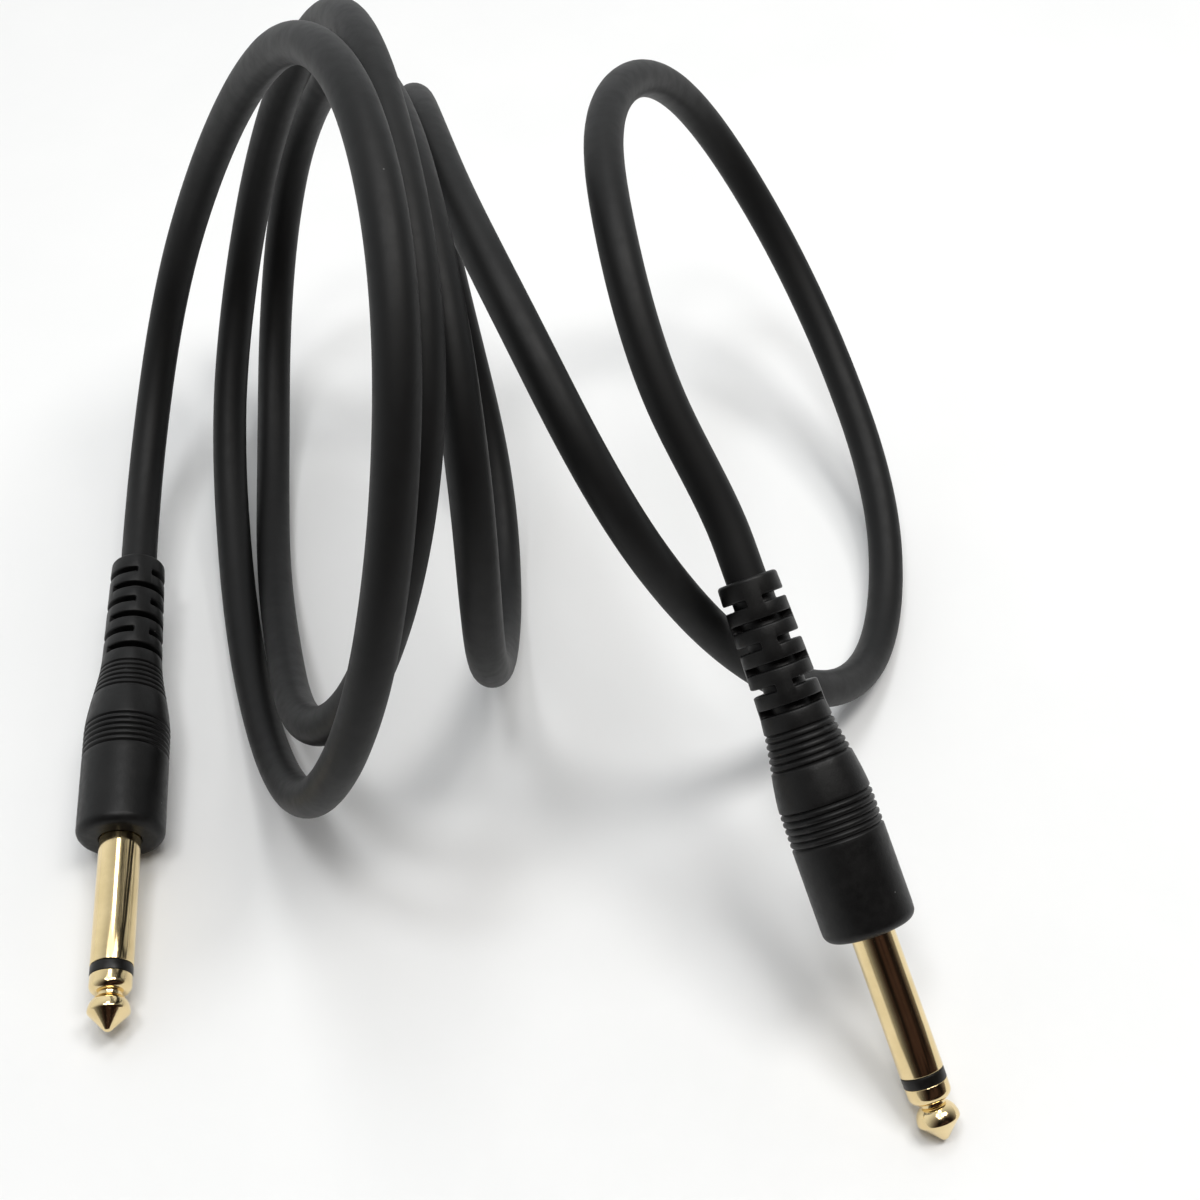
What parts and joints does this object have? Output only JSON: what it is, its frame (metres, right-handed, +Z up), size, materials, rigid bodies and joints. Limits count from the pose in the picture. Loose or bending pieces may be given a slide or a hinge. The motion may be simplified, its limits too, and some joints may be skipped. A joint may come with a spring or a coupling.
{
  "type": "instrument cable",
  "caption": "Black coaxial instrument cable, standing in loose springy turns, with a moulded gold 6.35 mm mono plug on each end.",
  "frame": {"origin": "on the surface that the cable stands on, under the centre of the box round its two plugs", "axes": "+Z up from the surface; +Y from the plugs towards the back of the turns; +X from plug A towards plug B"},
  "size_m": [0.1376, 0.1679, 0.1097],
  "materials": {
    "cable_jacket": "black PVC jacket, soft satin",
    "plug_moulding": "black moulded PVC, fine matte grain",
    "gold_plating": "polished pale gold plating",
    "insulator": "black moulded insulator, slight gloss",
    "inner_moulding": "natural polypropylene, hidden",
    "lug_brass": "stamped brass, hidden",
    "copper": "bare copper strand, hidden",
    "solder": "solder, hidden",
    "core_insulation": "white polyethylene, hidden"
  },
  "bodies": {
    "root": {"cable": "cable_jacket", "plug_a_handle": "plug_moulding", "plug_a_inner_mould": "inner_moulding", "plug_a_sleeve_contact": "gold_plating", "plug_a_insulator_ring": "insulator", "plug_a_tip_contact": "gold_plating", "plug_a_insulator_tube": "insulator", "plug_a_rear_washer": "insulator", "plug_a_tip_lug": "lug_brass", "plug_a_ground_lug": "lug_brass", "plug_a_jacket_end": "cable_jacket", "plug_a_core_insulation": "core_insulation", "plug_a_centre_conductor": "copper", "plug_a_screen_wire": "copper", "plug_a_tip_solder": "solder", "plug_a_ground_solder": "solder", "plug_b_handle": "plug_moulding", "plug_b_inner_mould": "inner_moulding", "plug_b_sleeve_contact": "gold_plating", "plug_b_insulator_ring": "insulator", "plug_b_tip_contact": "gold_plating", "plug_b_insulator_tube": "insulator", "plug_b_rear_washer": "insulator", "plug_b_tip_lug": "lug_brass", "plug_b_ground_lug": "lug_brass", "plug_b_jacket_end": "cable_jacket", "plug_b_core_insulation": "core_insulation", "plug_b_centre_conductor": "copper", "plug_b_screen_wire": "copper", "plug_b_tip_solder": "solder", "plug_b_ground_solder": "solder"}
  },
  "joints": []
}
